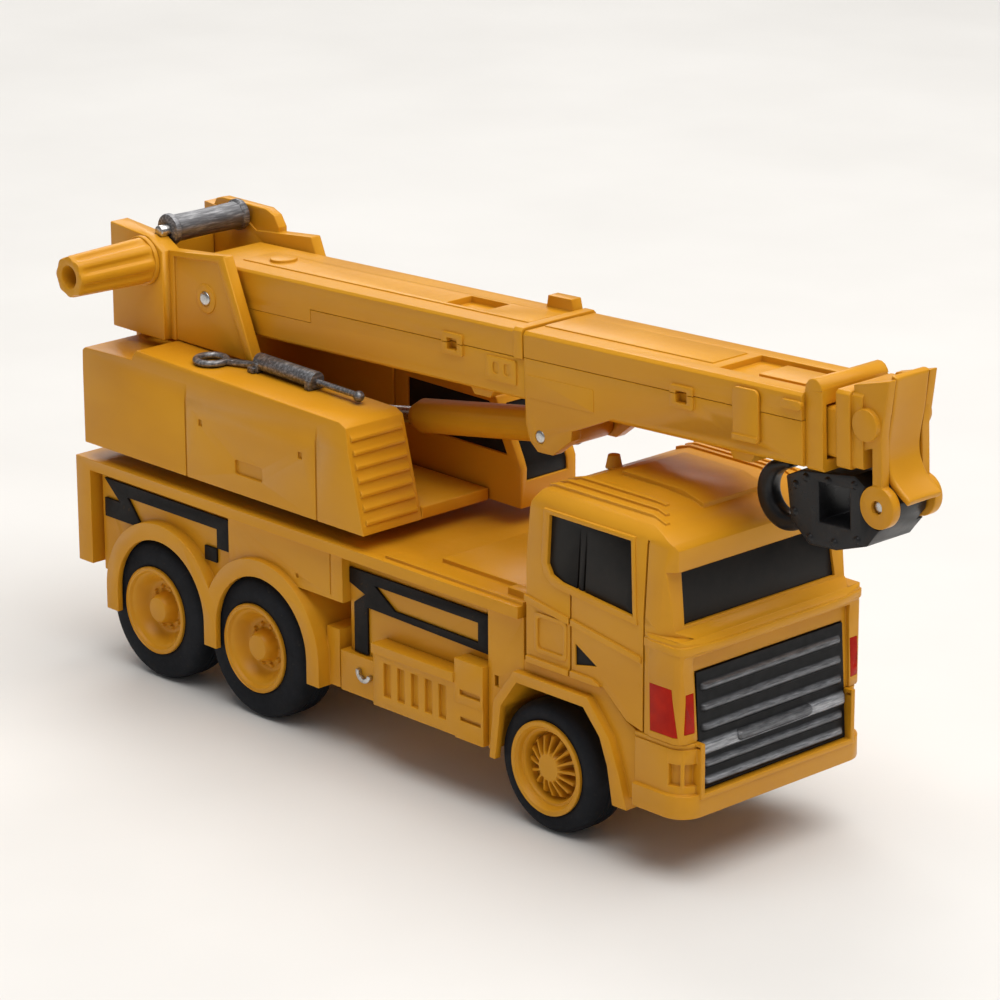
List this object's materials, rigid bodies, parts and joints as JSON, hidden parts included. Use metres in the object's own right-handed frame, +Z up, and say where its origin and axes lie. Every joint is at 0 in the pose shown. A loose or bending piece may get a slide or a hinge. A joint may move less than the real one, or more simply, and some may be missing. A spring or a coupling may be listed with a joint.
{
  "type": "toy crane truck",
  "caption": "Toy crane truck with rolling wheels, a slewing upper works, a luffing and telescoping boom with a lift cylinder, and a folding hook block.",
  "frame": {"origin": "On the ground plane under the wheels, on the truck's centreline, midway along the body.", "axes": "+X forward, +Y to the truck's left, +Z up."},
  "size_m": [0.1661, 0.0468, 0.0788],
  "materials": {
    "yellow_plastic": "semi-gloss moulded plastic",
    "black_print": "satin black raised print",
    "dark_glazing": "glossy black glazing",
    "gunmetal_plastic": "metallic dark grey plastic",
    "black_plastic": "glossy black moulded plastic",
    "lamp_red": "deep red lamp lens",
    "steel": "bright steel pin or screw",
    "tyre_rubber": "matt bluish-black tyre"
  },
  "bodies": {
    "chassis": {"chassis_base": "yellow_plastic", "chassis_body": "yellow_plastic", "base_screws": "steel", "slew_ring": "gunmetal_plastic", "cab_shell": "yellow_plastic", "windscreen": "dark_glazing", "side_windows": "dark_glazing", "door_handles": "black_print", "grille": "gunmetal_plastic", "headlamps": "lamp_red", "front_bumper": "yellow_plastic", "right_side_box": "yellow_plastic", "left_side_box": "yellow_plastic", "side_stripes": "black_print", "tie_down_hooks": "steel"},
    "front_wheelset": {"front_axle": "steel", "front_rims": "yellow_plastic", "front_tyres": "tyre_rubber"},
    "middle_wheelset": {"middle_axle": "steel", "middle_rims": "yellow_plastic", "middle_tyres": "tyre_rubber"},
    "rear_wheelset": {"rear_axle": "steel", "rear_rims": "yellow_plastic", "rear_tyres": "tyre_rubber"},
    "upper_works": {"upper_base": "yellow_plastic", "slew_screw": "steel", "right_housing": "yellow_plastic", "left_housing": "yellow_plastic", "stowed_rigging": "gunmetal_plastic", "operator_cab": "yellow_plastic", "operator_window": "dark_glazing", "tower_right": "yellow_plastic", "tower_left": "yellow_plastic", "tower_back": "yellow_plastic", "side_boss": "yellow_plastic", "boom_pivot_pin": "steel", "winch_spindle": "steel"},
    "winch": {"winch_drum": "gunmetal_plastic"},
    "outer_boom": {"rear_boom_lower": "yellow_plastic", "rear_boom_upper": "yellow_plastic", "front_boom_lower": "yellow_plastic", "front_boom_upper": "yellow_plastic", "boom_flange": "yellow_plastic", "boom_screws": "steel", "lift_pin": "steel"},
    "cylinder": {"lift_barrel": "yellow_plastic"},
    "cylinder_rod": {"lift_rod": "steel"},
    "boom_head": {"inner_boom": "yellow_plastic", "head_block": "yellow_plastic", "head_guard": "yellow_plastic", "hook_pin": "steel"},
    "folding_hook": {"hook_block": "black_plastic", "hook": "black_plastic"}
  },
  "joints": [
    {"name": "front_wheels_roll", "type": "hinge", "parent": "chassis", "child": "front_wheelset", "pos_m": [0.04, 0, 0.0103], "axis": [0, 1, 0], "continuous": true},
    {"name": "middle_wheels_roll", "type": "hinge", "parent": "chassis", "child": "middle_wheelset", "pos_m": [-0.0264, 0, 0.0118], "axis": [0, 1, 0], "continuous": true},
    {"name": "rear_wheels_roll", "type": "hinge", "parent": "chassis", "child": "rear_wheelset", "pos_m": [-0.0514, 0, 0.0118], "axis": [0, 1, 0], "continuous": true},
    {"name": "slew", "type": "hinge", "parent": "chassis", "child": "upper_works", "pos_m": [-0.03, 0, 0.0346], "axis": [0, 0, 1], "continuous": true},
    {"name": "drum_turn", "type": "hinge", "parent": "upper_works", "child": "winch", "pos_m": [-0.0587, 0, 0.0723], "axis": [0, 1, 0], "continuous": true},
    {"name": "luff", "type": "hinge", "parent": "upper_works", "child": "outer_boom", "pos_m": [-0.0467, 0, 0.0636], "axis": [0, -1, 0], "range_deg": [0, 55]},
    {"name": "cylinder_swing", "type": "hinge", "parent": "outer_boom", "child": "cylinder", "pos_m": [0.02766, 0, 0.05651], "axis": [0, -1, 0], "range_deg": [0, 2.7]},
    {"name": "rod_slide", "type": "slide", "parent": "cylinder", "child": "cylinder_rod", "axis": [-0.9866, 0, -0.1633], "range_m": [0, 0.0208]},
    {"name": "telescope", "type": "slide", "parent": "outer_boom", "child": "boom_head", "axis": [0.9991, 0, 0.0419], "range_m": [0, 0.045]},
    {"name": "hook_fold", "type": "hinge", "parent": "boom_head", "child": "folding_hook", "pos_m": [0.09187, 0, 0.06], "axis": [0, -1, 0], "range_deg": [0, 90]}
  ],
  "couplings": [
    {"joint": "cylinder_swing", "follows": "luff", "ratio": 0.048},
    {"joint": "rod_slide", "follows": "luff", "m_per_rad": 0.02145}
  ]
}
